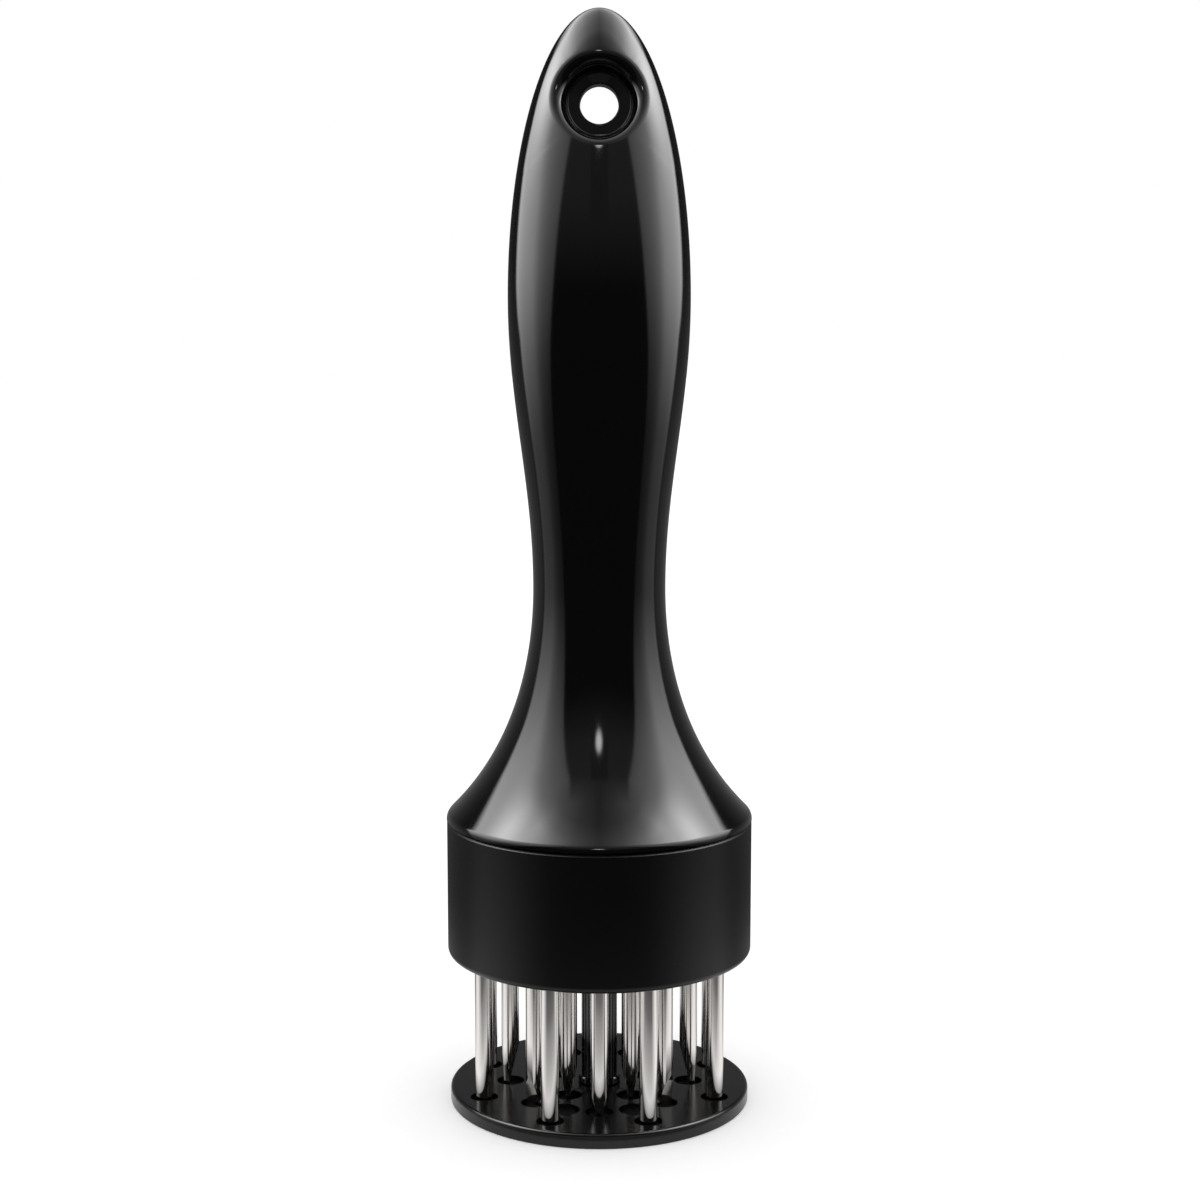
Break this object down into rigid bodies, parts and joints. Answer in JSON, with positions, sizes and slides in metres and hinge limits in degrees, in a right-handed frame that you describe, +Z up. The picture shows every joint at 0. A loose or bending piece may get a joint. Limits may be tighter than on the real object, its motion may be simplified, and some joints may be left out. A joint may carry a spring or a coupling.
{
  "type": "meat tenderizer",
  "caption": "Hand-held needle meat tenderizer: glossy waisted handle with a hanging hole, matt collar, steel chisel-tipped needles and a spring-loaded press plate.",
  "frame": {"origin": "middle of the press plate's underside, on the surface the tool stands on", "axes": "+Z up along the handle, the hanging hole runs along Y, the picture looks along +Y"},
  "size_m": [0.0552, 0.0552, 0.1949],
  "materials": {
    "gloss_black": "gloss",
    "matt_black": "matt",
    "polished_steel": "polished",
    "plain_steel": "satin",
    "natural_plastic": "satin"
  },
  "bodies": {
    "handle_unit": {"handle": "gloss_black", "collar": "matt_black", "needle_holder": "matt_black", "backing_plate": "plain_steel", "guide_bush": "natural_plastic", "needle_outer_1": "polished_steel", "needle_outer_2": "polished_steel", "needle_outer_3": "polished_steel", "needle_outer_4": "polished_steel", "needle_outer_5": "polished_steel", "needle_outer_6": "polished_steel", "needle_outer_7": "polished_steel", "needle_outer_8": "polished_steel", "needle_middle_1": "polished_steel", "needle_middle_2": "polished_steel", "needle_middle_3": "polished_steel", "needle_middle_4": "polished_steel", "needle_middle_5": "polished_steel", "needle_middle_6": "polished_steel", "needle_middle_7": "polished_steel", "needle_middle_8": "polished_steel", "needle_inner_1": "polished_steel", "needle_inner_2": "polished_steel", "needle_inner_3": "polished_steel", "needle_inner_4": "polished_steel", "needle_inner_5": "polished_steel", "base_screw_1": "plain_steel", "base_screw_2": "plain_steel", "base_screw_3": "plain_steel", "base_screw_4": "plain_steel", "return_spring": "plain_steel"},
    "press_unit": {"press_plate": "gloss_black", "guide_post": "gloss_black", "plate_screw": "plain_steel", "stop_washer": "plain_steel", "post_screw": "plain_steel"}
  },
  "joints": [
    {"name": "press_slide", "type": "slide", "parent": "handle_unit", "child": "press_unit", "axis": [0, 0, 1], "range_m": [0, 0.0245], "stiffness_N_per_m": 400, "springref_m": -0.012, "deforming": ["return_spring"]}
  ]
}
